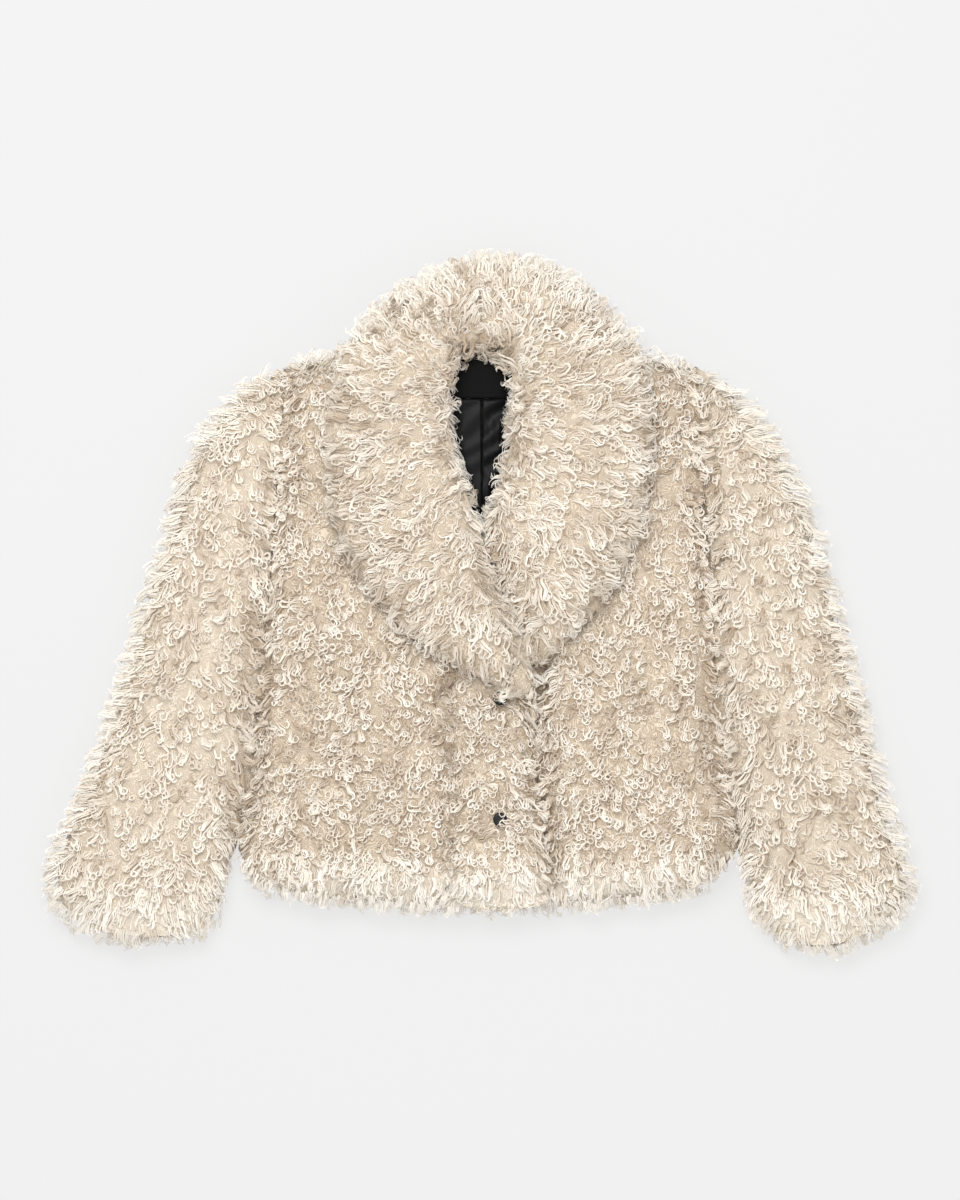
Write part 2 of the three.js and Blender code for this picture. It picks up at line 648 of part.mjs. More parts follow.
function sleeve(sections, line, sign) {
  const rowCount = 27;
  const outside = [];
  const inside = [];
  const middle = (seamUnder + backHeight) / 2 + 1;
  for (let i = 0; i < rowCount; i += 1) {
    const row = rowAt(sections, i / (rowCount - 1));
    const startGap = i === 0 ? seamGap : 0;
    const outer = new THREE.Vector2(row.outerX + sign * startGap, row.outerY);
    const innerX = sideX(line, row.innerY) + sign * (seamGap + row.away);
    const inner = new THREE.Vector2(innerX, row.innerY);
    const length = outer.distanceTo(inner);
    const planAt = (s) => {
      const plan = outer.clone().lerp(inner, s);
      plan.y -= 4 * s * (1 - s) * row.bulge;
      return plan;
    };
    const flatten = clamp01((sleeveHeight - row.crest) / 22);
    const shape = {
      endSteps: foldSteps,
      overCount: 8,
      underCount: 3,
      top: (plan, atOuter, atInner) => pileTop(row.crest, plan, [
        { distance: atOuter, share: row.outFall },
        { distance: atInner, share: row.inFall },
      ]),
      low: (plan, atOuter, atInner) => underLift * Math.max(
        fall(atOuter, underRound), fall(atInner, underRound), flatten),
    };
    outside.push(wallRing(planAt, length, shape));
    const slot = [];
    const slotPlaces = [0, 0.25, 0.5, 0.75, 1];
    for (const side of [1, -1]) {
      const places = side > 0 ? slotPlaces.slice(0, -1) : [...slotPlaces].reverse().slice(0, -1);
      for (const place of places) {
        const s = (slotInset + (length - 2 * slotInset) * place) / length;
        const plan = planAt(s);
        const open = place > 0 && place < 1 ? side * sleeveSlot / 2 : 0;
        slot.push(new THREE.Vector3(plan.x, plan.y, middle + open));
      }
    }
    inside.push(slot);
  }
  return loftTube(outside, inside);
}

// Collar halves, laid on the fronts and down to the floor behind the neck

// Plan places that the upper half of the collar covers
function inUpperCollar(x, y) {
  return y > neckLineY ? x < 0 : inUpperFront(x, y);
}

function collarHalf(sections, laid, sign, pressedUnder) {
  const covers = pressedUnder ? () => true : inUpperCollar;
  const steps = { endSteps: panelSteps, overCount: 7, underCount: 5 };
  const rowCount = 29;
  const rings = [];
  for (let i = 0; i < rowCount; i += 1) {
    const t = i / (rowCount - 1);
    const row = rowAt(sections, t);
    const seam = i === 0 ? sign * seamGap : 0;
    const outer = new THREE.Vector2(row.outerX + seam, row.outerY);
    const inner = new THREE.Vector2(row.innerX + seam, row.innerY);
    const length = outer.distanceTo(inner);
    const planAt = (s) => outer.clone().lerp(inner, s);
    const behind = smooth((inner.y - neckLineY + 10) / 35);
    const low = (plan, atOuter) => {
      const below = laid.topNear(plan.x, plan.y, collarReach, covers);
      return below > 1 ? below + layGap : underLift * fall(atOuter, underRound);
    };
    const shape = {
      ...steps,
      low,
      top: (plan, atOuter, atInner) => {
        const base = low(plan, atOuter) + collarWall;
        const rim = Math.max(base, behind * neckRim);
        const tail = pressedUnder ? 1 : 1 - fall((1 - t) * collarLength, collarTail);
        const crest = Math.max(row.crest - foldDepth(plan.x, plan.y), base + collarWall);
        const risen = 1 - fall(atOuter, collarOuterRound);
        const inward = (crest - rim) * fall(atInner, collarInnerRound);
        const full = base + Math.max((crest - base - inward) * risen * tail, 0);
        const past = plan.x - edgeX(plan.y) - lapStart(plan.y) - seamGap * 10;
        if (!pressedUnder || past > lapRise) {
          return full;
        }
        const pressed = Math.min(base + 2, full);
        return past < 0 ? pressed : pressed + (full - pressed) * (1 - fall(past, lapRise));
      },
    };
    rings.push(wallRing(planAt, length, shape));
  }
  return loftWall(rings, ringCount(steps));
}

// Lining and neck facing, thin walls on the back panel

function liningTop(x, y, left, right) {
  // Slack cloth: level under the fronts, with slanted folds in the opening
  const inside = Math.min(x - left, right - x) - liningHidden;
  const inOpening = smooth(inside / 10) * smooth((y - 70) / 40) * smooth((240 - y) / 30);
  const wave = 0.5 + 0.5 * Math.sin((y - 0.7 * x) / 7.5);
  const slack = x > liningSeamX ? 0.35 + 0.65 * wave : 0.35;
  return backHeight + liningLift + liningWall + liningPuff * inOpening * slack;
}

function thinWall(rows, columns, pointAt) {
  const rings = [];
  for (let i = 0; i < rows; i += 1) {
    const ring = [];
    for (const side of [0, 1]) {
      for (let j = 0; j < columns; j += 1) {
        const u = (side ? columns - 1 - j : j) / (columns - 1);
        const plan = pointAt(i / (rows - 1), u);
        const top = liningTop(plan.x, plan.y, plan.left, plan.right);
        ring.push(new THREE.Vector3(plan.x, plan.y, top - side * liningWall));
      }
    }
    rings.push(ring);
  }
  return loftWall(rings, columns);
}

function liningHalf(side) {
  return thinWall(12, 6, (t, u) => {
    const row = rowAt(liningSections, t);
    const from = side === 'right' ? row.left : liningSeamX + seamGap / 2;
    const to = side === 'right' ? liningSeamX - seamGap / 2 : row.right;
    return { x: from + (to - from) * u, y: row.y, left: row.left, right: row.right };
  });
}

function neckFacing() {
  return thinWall(5, 12, (t, u) => {
    const row = rowAt(facingSections, t);
    const x = row.half * (2 * u - 1);
    return { x, y: row.y + row.curve * x * x, left: -row.half, right: row.half };
  });
}

// A snap button: a flat disc with a rounded rim and a shallow dish
function snapButton(laid, place) {
  const profile = [
    new THREE.Vector2(0, 0),
    new THREE.Vector2(buttonRadius - buttonRim, 0),
    new THREE.Vector2(buttonRadius, buttonRim),
    new THREE.Vector2(buttonRadius, buttonThickness - buttonRim),
    new THREE.Vector2(buttonRadius - buttonRim, buttonThickness),
    new THREE.Vector2(buttonRadius - 2 * buttonRim, buttonThickness - buttonRim / 2),
    new THREE.Vector2(0, buttonThickness - buttonRim),
  ];
  const sides = 16;
  const geometry = new THREE.LatheGeometry(profile, sides);
  geometry.rotateX(Math.PI / 2);
  let seat = laid.topAt(place.x, place.y);
  for (let i = 0; i < sides; i += 1) {
    const turn = 2 * Math.PI * i / sides;
    const reach = buttonRadius - buttonRim;
    const top = laid.topAt(place.x + reach * Math.cos(turn), place.y + reach * Math.sin(turn));
    seat = Math.max(seat, top);
  }
  geometry.translate(place.x, place.y, seat + seamGap);
  return geometry;
}

// Materials

const fur = { color: '#e6dccb', roughness: 0.95, metalness: 0 };
const satin = { color: '#151517', roughness: 0.4, metalness: 0 };
const facingCloth = { color: '#111113', roughness: 0.6, metalness: 0 };
const gloss = { color: '#0e0e10', roughness: 0.25, metalness: 0 };

function piece(name, geometry, finish) {
  const mesh = new THREE.Mesh(geometry, new THREE.MeshStandardMaterial(finish));
  mesh.name = name;
  return mesh;
}

// Assembly, in the order in which the pieces lie on each other

function coat() {
  const group = new THREE.Group();
  const laid = new LaidPieces();
  const lay = (name, geometry, finish) => {
    group.add(piece(name, geometry, finish));
    laid.add(geometry);
  };
  lay('back', backPanel(), fur);
  lay('neck_facing', neckFacing(), facingCloth);
  lay('lining_right', liningHalf('right'), satin);
  lay('lining_left', liningHalf('left'), satin);
  lay('front_left', underFront(), fur);
  lay('collar_left', collarHalf(leftCollarSections, laid, 1, true), fur);
  lay('front_right', upperFront(laid), fur);
  lay('collar_right', collarHalf(rightCollarSections, laid, -1, false), fur);
  lay('sleeve_right', sleeve(rightSleeveSections, sideLines.right, -1), fur);
  lay('sleeve_left', sleeve(leftSleeveSections, sideLines.left, 1), fur);
  for (const place of buttonPlaces) {
    group.add(piece(place.name, snapButton(laid, place), gloss));
  }
  return group;
}

// The origin is at the middle of the coat's box, on the surface it lies on
function centred(group) {
  const middle = new THREE.Box3().setFromObject(group).getCenter(new THREE.Vector3());
  const floor = new THREE.Box3().setFromObject(group).min.z;
  group.position.set(-middle.x, -middle.y, -floor);
  group.updateMatrixWorld(true);
  return group;
}

export default centred(coat());
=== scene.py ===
import math
import time

import bmesh
import bpy
import numpy as np
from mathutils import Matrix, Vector
from mathutils.bvhtree import BVHTree


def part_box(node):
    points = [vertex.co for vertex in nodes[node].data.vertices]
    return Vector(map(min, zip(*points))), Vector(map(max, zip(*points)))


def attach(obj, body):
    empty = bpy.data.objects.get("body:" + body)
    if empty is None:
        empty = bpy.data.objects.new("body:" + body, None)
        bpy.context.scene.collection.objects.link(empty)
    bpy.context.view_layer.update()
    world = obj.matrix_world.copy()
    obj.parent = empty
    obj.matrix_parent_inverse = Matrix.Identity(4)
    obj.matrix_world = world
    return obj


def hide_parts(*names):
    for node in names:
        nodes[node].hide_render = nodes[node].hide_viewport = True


started = time.time()
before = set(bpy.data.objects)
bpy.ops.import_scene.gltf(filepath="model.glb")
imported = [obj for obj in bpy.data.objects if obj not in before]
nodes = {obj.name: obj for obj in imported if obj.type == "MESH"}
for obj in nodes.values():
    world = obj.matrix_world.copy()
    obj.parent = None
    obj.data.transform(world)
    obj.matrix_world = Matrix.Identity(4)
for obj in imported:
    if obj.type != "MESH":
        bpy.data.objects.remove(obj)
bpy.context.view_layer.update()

# Places on the coat are written as (right, down) in mm from the top left of a 960 x 1200 mm field
fieldX = 0.48 - 0.0002
fieldY = 0.6 + 0.0041
coatMiddle = 481        # mm to the right, where its centre line is
hemStart = 850          # mm down, where the body's pile turns smooth towards the hem
cuffStart = 878         # the same on the sleeves
combedReach = 45        # mm over which it turns smooth
neckDown = 405          # mm down, the middle of the collar's curve
floorLift = 0.0004      # the pile's lowest fibres lie this far above the floor
upAxis = Vector((0, 0, 1))


def note(text):
    print(f"{time.time() - started:6.1f} s  {text}")


def place(right, down, z=0.0):
    return Vector((right / 1000 - fieldX, fieldY - down / 1000, z))


def toField(points):
    # back from metres to the field's mm
    return (points[:, 0] + fieldX) * 1000, (fieldY - points[:, 1]) * 1000


def mergedCopy(name):
    bm = bmesh.new()
    bm.from_mesh(nodes[name].data)
    bmesh.ops.remove_doubles(bm, verts=bm.verts, dist=0.00002)
    bm.normal_update()
    return bm


def bmeshToObject(bm, name, material, smooth=True):
    mesh = bpy.data.meshes.new(name)
    bm.to_mesh(mesh)
    bm.free()
    piece = bpy.data.objects.new(name, mesh)
    bpy.context.scene.collection.objects.link(piece)
    mesh.materials.append(material)
    if smooth:
        mesh.polygons.foreach_set("use_smooth", [True] * len(mesh.polygons))
    return piece


def softNoise(points, size, seed):
    # a handful of random waves about that long, in metres
    rng = np.random.default_rng(seed)
    total = np.zeros(len(points))
    for _ in range(8):
        direction = rng.normal(size=3)
        direction /= np.linalg.norm(direction)
        wave = 2 * math.pi / (size * rng.uniform(0.7, 1.5))
        total += np.sin(points @ direction * wave + rng.uniform(0, 2 * math.pi))
    return total / 2.8


def unit(vectors):
    length = np.linalg.norm(vectors, axis=-1, keepdims=True)
    return vectors / np.maximum(length, 1e-9)


furNodes = [
    "back", "front_right", "front_left", "sleeve_right", "sleeve_left",
    "collar_right", "collar_left",
]
solids = {name: mergedCopy(name) for name in nodes}
trees = {name: BVHTree.FromBMesh(bm) for name, bm in solids.items()}
note("solids merged")


def covered(name, point, normal, reach=0.011, touch=0.0015, lap=()):
    # true where another piece lies on this one, or the piece faces itself; walls need less room
    if abs(normal.z) < 0.75:
        reach = 0.004
    start = point + normal * 0.0006
    for other, tree in trees.items():
        if other == name or other.startswith("button") or other in lap:
            continue
        near = tree.find_nearest(point, touch)[0]
        if near is not None and (near - point).dot(normal) > 0.0001:
            return True
        if tree.ray_cast(start, normal, reach)[0] is not None:
            return True
        inside = other.startswith(("lining", "neck"))
        if inside and tree.ray_cast(point, upAxis, 0.04)[0] is not None:
            return True
    return trees[name].ray_cast(start, normal, 0.006)[0] is not None


def newMaterial(name, base, roughness, **values):
    material = bpy.data.materials.new(name)
    material.use_nodes = True
    shader = material.node_tree.nodes["Principled BSDF"]
    shader.inputs["Base Color"].default_value = (*base, 1)
    shader.inputs["Roughness"].default_value = roughness
    for key, value in values.items():
        shader.inputs[key.replace("_", " ")].default_value = value
    return material


def link(material, source, output, target, entry):
    material.node_tree.links.new(source.outputs[output], target.inputs[entry])


def addNode(material, kind, **settings):
    node = material.node_tree.nodes.new(kind)
    for key, value in settings.items():
        setattr(node, key, value)
    return node


def colourRamp(material, stops):
    ramp = addNode(material, "ShaderNodeValToRGB")
    elements = ramp.color_ramp.elements
    while len(elements) < len(stops):
        elements.new(0.5)
    for element, (position, colour) in zip(elements, stops):
        element.position = position
        element.color = (*colour, 1)
    return ramp


def pileMaterial():
    # along each fibre the map runs from root to tip, across the map each fibre has its own tone
    material = newMaterial("cream_pile", (0.86, 0.78, 0.66), 0.62, Sheen_Weight=0.2,
                           Sheen_Roughness=0.45, Specular_IOR_Level=0.3)
    shader = material.node_tree.nodes["Principled BSDF"]
    fibreMap = addNode(material, "ShaderNodeUVMap", uv_map="OFBake")
    split = addNode(material, "ShaderNodeSeparateXYZ")
    link(material, fibreMap, "UV", split, "Vector")
    streaks = addNode(material, "ShaderNodeTexNoise", noise_dimensions="1D")
    streaks.inputs["Scale"].default_value = 160
    streaks.inputs["Detail"].default_value = 1
    link(material, split, "X", streaks, "W")
    spread = addNode(material, "ShaderNodeMath", operation="MULTIPLY_ADD")
    spread.inputs[1].default_value = 0.5
    spread.inputs[2].default_value = -0.25
    link(material, streaks, "Fac", spread, 0)
    tone = addNode(material, "ShaderNodeMath", operation="ADD")
    link(material, split, "X", tone, 0)
    link(material, spread, "Value", tone, 1)
    # dark to pale fibres at the root, the middle and the tip, and where along it each takes over;
    # the darker roots are painted shade low in the pile, the paler tips painted light on its top,
    # and the dark end of each ramp carries the painted shade put into a fibre's tone
    roots = colourRamp(material, [(0.0, (0.38, 0.28, 0.19)), (1.0, (0.76, 0.67, 0.55))])
    middles = colourRamp(material, [(0.0, (0.47, 0.36, 0.26)), (0.5, (0.84, 0.765, 0.655)),
                                    (1.0, (0.91, 0.865, 0.79))])
    tips = colourRamp(material, [(0.0, (0.82, 0.74, 0.62)), (1.0, (0.94, 0.91, 0.86))])
    link(material, tone, "Value", roots, "Fac")
    colour = roots.outputs["Color"]
    for ramp, start, end in ((middles, 0.03, 0.4), (tips, 0.62, 0.9)):
        link(material, tone, "Value", ramp, "Fac")
        rise = addNode(material, "ShaderNodeMapRange")
        rise.inputs["From Min"].default_value = start
        rise.inputs["From Max"].default_value = end
        link(material, split, "Y", rise, "Value")
        mixed = addNode(material, "ShaderNodeMix", data_type="RGBA")
        material.node_tree.links.new(rise.outputs["Result"], mixed.inputs[0])
        material.node_tree.links.new(colour, mixed.inputs[6])
        material.node_tree.links.new(ramp.outputs["Color"], mixed.inputs[7])
        colour = mixed.outputs[2]
    material.node_tree.links.new(colour, shader.inputs["Base Color"])
    return material


def undercoatMaterial(name, dark, light, paler):
    # fine wavy strands, as the short wool between the locks; their tan is partly the wool's own and
    # partly painted shade of the gaps between the locks
    material = newMaterial(name, light, 0.9, Specular_IOR_Level=0.1)
    shader = material.node_tree.nodes["Principled BSDF"]
    where = addNode(material, "ShaderNodeTexCoord")
    strands = addNode(material, "ShaderNodeTexNoise")
    strands.inputs["Scale"].default_value = 75
    strands.inputs["Detail"].default_value = 1.5
    strands.inputs["Distortion"].default_value = 0.6
    link(material, where, "Object", strands, "Vector")
    bands = addNode(material, "ShaderNodeMath", operation="MULTIPLY")
    bands.inputs[1].default_value = 110
    link(material, strands, "Fac", bands, 0)
    wave = addNode(material, "ShaderNodeMath", operation="SINE")
    link(material, bands, "Value", wave, 0)
    height = addNode(material, "ShaderNodeMath", operation="MULTIPLY_ADD")
    height.inputs[1].default_value = 0.5
    height.inputs[2].default_value = 0.5
    link(material, wave, "Value", height, 0)
    shade = colourRamp(material, [(0.1, dark), (0.85, light)])
    link(material, height, "Value", shade, "Fac")
    pale = addNode(material, "ShaderNodeAttribute", attribute_name="pale")
    mixed = addNode(material, "ShaderNodeMix", data_type="RGBA")
    mixed.inputs[7].default_value = (*paler, 1)
    material.node_tree.links.new(pale.outputs["Fac"], mixed.inputs[0])
    material.node_tree.links.new(shade.outputs["Color"], mixed.inputs[6])
    material.node_tree.links.new(mixed.outputs[2], shader.inputs["Base Color"])
    bump = addNode(material, "ShaderNodeBump")
    bump.inputs["Strength"].default_value = 0.5
    bump.inputs["Distance"].default_value = 0.001
    link(material, height, "Value", bump, "Height")
    link(material, bump, "Normal", shader, "Normal")
    return material


pile = pileMaterial()
# the undercoat's tan and its dark strands stand partly for painted shade between the locks
undercoat = undercoatMaterial("tan_undercoat_gap_shade", dark=(0.42, 0.32, 0.225), light=(0.70, 0.60, 0.47),
                              paler=(0.80, 0.73, 0.62))
satin = newMaterial("black_satin", (0.0045, 0.0045, 0.0047), 0.42, Specular_IOR_Level=0.09)
twill = newMaterial("black_twill", (0.006, 0.006, 0.006), 0.75, Specular_IOR_Level=0.08)
gloss = newMaterial("black_gloss", (0.006, 0.006, 0.006), 0.35, Specular_IOR_Level=0.3)


def bearing(name, points):
    # which way the pile lies at each point, in degrees: 0 to the right, 90 to the neck
    right, down = toField(points)
    if name.startswith("sleeve"):
        # down and outwards, but straight down beside the body
        side = -1 if name == "sleeve_right" else 1
        across = (right - coatMiddle) * side
        inner = np.clip((300 + 0.12 * (down - 400) - across) / 60, 0, 1)
        return 270 + side * (24 - 26 * inner)
    if name.startswith("collar"):
        # away from the neck all round
        middle = neckDown + 0.55 * np.maximum(down - neckDown, 0)
        return np.degrees(np.arctan2(middle - down, right - 486))
    side = np.where(right < coatMiddle, -1, 1)
    return 270 + side * 6 * np.clip((down - 700) / 150, 0, 1)


# spacing, shaft, radius, width and thick are in mm, turn, wave and sway in degrees, the others
# are shares: tone is how pale a lock is, then how much painted shade darkens its sides, and how
# many locks lie low with painted shade on them
frontPile = dict(spacing=8.2, fibres=8, shaft=17, radius=2.5, turn=(110, 340), wave=42, width=3.4,
                 sway=36, tone=0.62, sideShade=0.5, lowShaded=0.16, thick=(0.36, 0.49))
sleevePile = dict(spacing=10.1, fibres=10, shaft=23, radius=2.5, turn=(100, 310), wave=38,
                  width=4.4, sway=26, tone=0.56, sideShade=0.2, lowShaded=0.08, thick=(0.36, 0.49))
collarPile = dict(spacing=9.6, fibres=11, shaft=25, radius=2.5, turn=(100, 300), wave=34,
                  width=4.4, sway=18, tone=0.62, sideShade=0.3, lowShaded=0.08, thick=(0.28, 0.40))
pilePlans = {
    "back": dict(spacing=10.5, fibres=7, shaft=19, radius=2.5, turn=(160, 320), wave=26, width=4.2,
                 sway=25, tone=0.5, sideShade=0.3, lowShaded=0.08, thick=(0.32, 0.45), seed=11),
    "front_right": dict(frontPile, seed=23),
    "front_left": dict(frontPile, seed=31),
    "sleeve_right": dict(sleevePile, seed=47),
    "sleeve_left": dict(sleevePile, seed=53),
    "collar_right": dict(collarPile, seed=61),
    "collar_left": dict(collarPile, seed=79),
}
buttons = ("button_lower", "button_upper")
buttonLower, buttonUpper = (sum(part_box(name), Vector()) / 2 for name in buttons)
buttonTops = [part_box(name)[1].z for name in buttons]
# what lies higher at a seam or lap spills over what lies lower
ranks = {
    "back": 0, "front_left": 2, "front_right": 2, "sleeve_right": 2, "sleeve_left": 2,
    "collar_left": 3, "collar_right": 4,
}
laps = ("front_right", "front_left", "collar_right", "collar_left")
seamBand = 0.016        # how far from a seam the pile turns towards it
spill = 0.006           # how far it is carried over the seam
shaftSteps = 4          # along each ribbon, up to its hook
curlSteps = 5           # round the hook
underSpacing = 20       # mm, where the pile is pressed against the floor
underFibres = 4


def surfaceOf(name):
    bm = solids[name]
    bm.verts.ensure_lookup_table()
    bm.verts.index_update()
    corners = np.array([v.co for v in bm.verts])
    normals = np.array([v.normal for v in bm.verts])
    faces = np.array([[v.index for v in f.verts] for f in bm.faces])
    return corners, normals, faces


def sewnTo(name):
    # the pieces whose seam with this one shows; the back meets fronts and collar at the outline
    others = [other for other in furNodes if other != name]
    if name.startswith(("front", "collar")):
        others.remove("back")
    elif name == "back":
        others = [other for other in others if not other.startswith(("front", "collar"))]
    return others


def seamNear(name, point):
    # how near the closest fur piece is that this one may spill over, and which way it lies
    nearest, way = seamBand, Vector((0, 0, 0))
    for other in sewnTo(name):
        if ranks[other] <= ranks[name]:
            spot, _, _, distance = trees[other].find_nearest(point, nearest)
            if spot is not None:
                nearest, way = distance, (spot - point) / max(distance, 0.0001)
    way.z = 0
    return nearest, way


def clearAbove(point):
    start = Vector(point) + upAxis * 0.0005
    return all(trees[other].ray_cast(start, upAxis)[0] is None for other in laps)


def scatter(name, plan, rng):
    # roots of the locks: random points by area, thinned until none are close together
    corners, normals, faces = surfaceOf(name)
    a, b, c = (corners[faces[:, k]] for k in range(3))
    flatNormal = np.cross(b - a, c - a)
    area = np.linalg.norm(flatNormal, axis=1) / 2
    spacing = plan["spacing"] / 1000
    count = int(area.sum() / spacing ** 2 * 6)
    pick = rng.choice(len(faces), count, p=area / area.sum())
    s, t = rng.random(count), rng.random(count)
    fold = s + t > 1
    s[fold], t[fold] = 1 - s[fold], 1 - t[fold]
    weights = np.stack([1 - s - t, s, t], axis=1)[:, :, None]
    points = (corners[faces[pick]] * weights).sum(axis=1)
    smooth = unit((normals[faces[pick]] * weights).sum(axis=1) + 0.35 * unit(flatNormal)[pick])
    under = (smooth[:, 2] < -0.8) & (points[:, 2] < 0.02)
    kept, apart, seamWay, grid = [], {}, {}, {}
    ends = combedOut(name, points)
    cell = underSpacing / 1000
    for i in range(count):
        point = points[i]
        apart[i], seamWay[i] = seamNear(name, Vector(point))
        tight = 0.88 if smooth[i][2] < 0.55 or ends[i] > 0.3 else 1
        if apart[i] < seamBand / 2:
            tight = 0.75
        gap = cell if under[i] else spacing * tight
        key = tuple(np.floor(point / cell).astype(int))
        near = [j for dx in (-1, 0, 1) for dy in (-1, 0, 1) for dz in (-1, 0, 1)
                for j in grid.get((key[0] + dx, key[1] + dy, key[2] + dz), ())]
        if near:
            away = points[near] - point
            if (away ** 2).sum(axis=1).min() < gap ** 2:
                continue
        # the lapped edges keep their pile, so that it fills the step
        lap = laps if name in laps and smooth[i][2] > 0.05 and clearAbove(point) else ()
        if covered(name, Vector(point), Vector(smooth[i]), lap=lap):
            continue
        grid.setdefault(key, []).append(i)
        kept.append(i)
    apart, seamWay = (np.array([values[i] for i in kept]) for values in (apart, seamWay))
    return points[kept], smooth[kept], under[kept], apart, seamWay


def growFibres(points, normals, ways, longer, ease, level, shade, plan, fibres, flat, rng):
    # each lock is a bundle of ribbons on one wavy path, drawn together near its end into two or
    # three hooked tips; ease makes it straighter, looser and paler, the paler tone on side walls
    # being painted light, shade darkens it as painted shade, level turns its ribbons up
    locks = len(points)
    across = np.cross(normals, ways)
    weak = np.linalg.norm(across, axis=1) < 0.3
    across[weak] = np.cross([0, 0, 1], ways[weak])
    across = unit(across)
    up = unit(np.cross(ways, across))
    side = rng.choice([-1, 1], locks)
    bend = np.radians(rng.uniform(0, 40, locks)) * rng.choice([-1, 1], locks)
    tipTurn = np.radians(rng.uniform(*plan["turn"], (locks, 3))) * side[:, None]
    tipTurn *= rng.choice([1, 1, 1, -1], (locks, 3)) * (1 - 0.6 * ease)[:, None]
    tipLength = rng.uniform(0.74, 1.2, (locks, 3))
    tipRadius = rng.uniform(0.75, 1.3, (locks, 3))
    tipRoll = np.radians(rng.normal(0, 8 if flat else 22, (locks, 3)))
    tipRise = rng.uniform(-0.0005, 0.0016, (locks, 3))
    size = rng.uniform(0.85, 1.15, locks) * longer
    phase = rng.uniform(0, 2 * math.pi, locks)
    wave = math.radians(plan["wave"]) * rng.uniform(0.6, 1.15, locks) * (1 - 0.6 * ease)
    waves = rng.uniform(0.7, 1.2, locks)

    lock = np.repeat(np.arange(locks), fibres)
    n = len(lock)
    offset = np.tile(np.linspace(-1, 1, fibres), locks) + rng.normal(0, 0.1, n)
    tip = np.digitize(offset + rng.normal(0, 0.1, n), [-0.36, 0.36])
    loose = rng.random(n) < 0.12                  # stray fibres leave their lock
    halfWidth = plan["width"] / 1000 * rng.uniform(0.8, 1.2, locks)[lock]
    shaft = plan["shaft"] / 1000 * size[lock] * tipLength[lock, tip] * rng.uniform(0.97, 1.03, n)
    totalTurn = tipTurn[lock, tip] * rng.uniform(0.9, 1.1, n)
    totalTurn[loose] *= rng.uniform(-1.2, 1.2, loose.sum())
    curl = plan["radius"] / 1000 * tipRadius[lock, tip] * rng.uniform(0.95, 1.08, n)
    curl = curl * np.abs(totalTurn) + 0.001
    step = np.concatenate([
        np.repeat((shaft / shaftSteps)[:, None], shaftSteps, axis=1),
        np.repeat((curl / curlSteps)[:, None], curlSteps, axis=1),
    ], axis=1)
    progress = np.linspace(0, 1, shaftSteps)[None, :]
    heading = np.radians(rng.normal(0, 3, n) + np.where(loose, rng.normal(0, 20, n), 0))[:, None]
    heading = heading + bend[lock][:, None] * (progress - 0.5)
    turns = 2 * math.pi * progress * waves[lock][:, None] + phase[lock][:, None]
    heading += wave[lock][:, None] * np.sin(turns + rng.normal(0, 0.15, n)[:, None])
    curlShare = (np.arange(1, curlSteps + 1) / curlSteps)[None, :]
    heading = np.concatenate([heading, heading[:, -1:] + totalTurn[:, None] * curlShare], axis=1)

    roll = tipRoll[lock, tip] + np.radians(rng.normal(0, 5, n))
    rolled = across[lock] * np.cos(roll)[:, None] + up[lock] * np.sin(roll)[:, None]
    direction = (np.cos(heading)[:, :, None] * ways[lock][:, None, :]
                 + np.sin(heading)[:, :, None] * rolled[:, None, :])
    path = np.cumsum(direction * step[:, :, None], axis=1)
    path = np.concatenate([np.zeros((n, 1, 3)), path], axis=1)
    path -= path[:, shaftSteps:shaftSteps + 1]
    path += ways[lock][:, None, :] * (shaft - plan["shaft"] / 1000 * size[lock])[:, None, None]
    count = shaftSteps + curlSteps + 1
    share = np.arange(count) / (count - 1)

    rise = np.zeros(count)
    rise[:shaftSteps] = -(1 - np.arange(shaftSteps) / shaftSteps) ** 1.4
    depth = (0.003 if flat else 0.0055) * size[lock]
    gather = np.interp(share, [0, 0.3, 0.6, 1], [0, 0.2, 0.93, 0.96])[None, :]
    gather = gather * (1 - 0.5 * ease)[lock][:, None]
    centre = (tip - 1) * 0.62
    spread = halfWidth[:, None] * (offset[:, None] * (1 - gather) + centre[:, None] * gather)
    arch = -(offset ** 2) * (0.0008 if flat else 0.0032) + rng.normal(0, 0.0003, n)
    arch = arch + tipRise[lock, tip]
    height = depth[:, None] * rise[None, :] + arch[:, None]
    path += (across[lock][:, None, :] * spread[:, :, None]
             + up[lock][:, None, :] * height[:, :, None])
    path += points[lock][:, None, :]

    tangent = np.gradient(path, axis=1)
    lean = np.radians(offset * 36 + rng.normal(0, 8, n))
    facing = up[lock] * np.cos(lean)[:, None] + across[lock] * np.sin(lean)[:, None]
    facing = unit(facing + [0, 0, 1] * (level[lock] * rng.uniform(0, 1.2, n) * (not flat))[:, None])
    edge = unit(np.cross(tangent, facing[:, None, :]))
    width = (rng.uniform(*plan["thick"], n) * (1 - 0.15 * ease[lock]))[:, None] / 1000
    profile = np.interp(share, [0, 0.3, 0.6, 1], [1.5, 1.3, 0.85, 0.45])[None, :]
    half = (width * profile)[:, :, None] * np.where(flat, 1.4, 1)
    ribbon = np.stack([path + edge * half, path - edge * half], axis=2)
    ribbon[..., 2] = np.maximum(ribbon[..., 2], floorLift + 0.0002 * rng.random((n, 1, 1)))
    # the tone takes off the painted shade and adds ease's paleness, which is painted light on the
    # side walls
    tone = plan["tone"] + 0.1 * softNoise(points, 0.05, 5) + rng.normal(0, 0.11, locks)
    tone = tone - shade + 0.28 * ease
    tone = tone[lock] + rng.normal(0, 0.1, (locks, 3))[lock, tip] + rng.normal(0, 0.08, n)
    # painted shade: a lock's outer fibres are darker where locks meet
    tone = np.clip(tone - plan["sideShade"] * np.abs(offset) ** 3 * (1 - ease[lock]), 0.03, 0.95)
    return ribbon, tone, 0.55 * ease[lock]


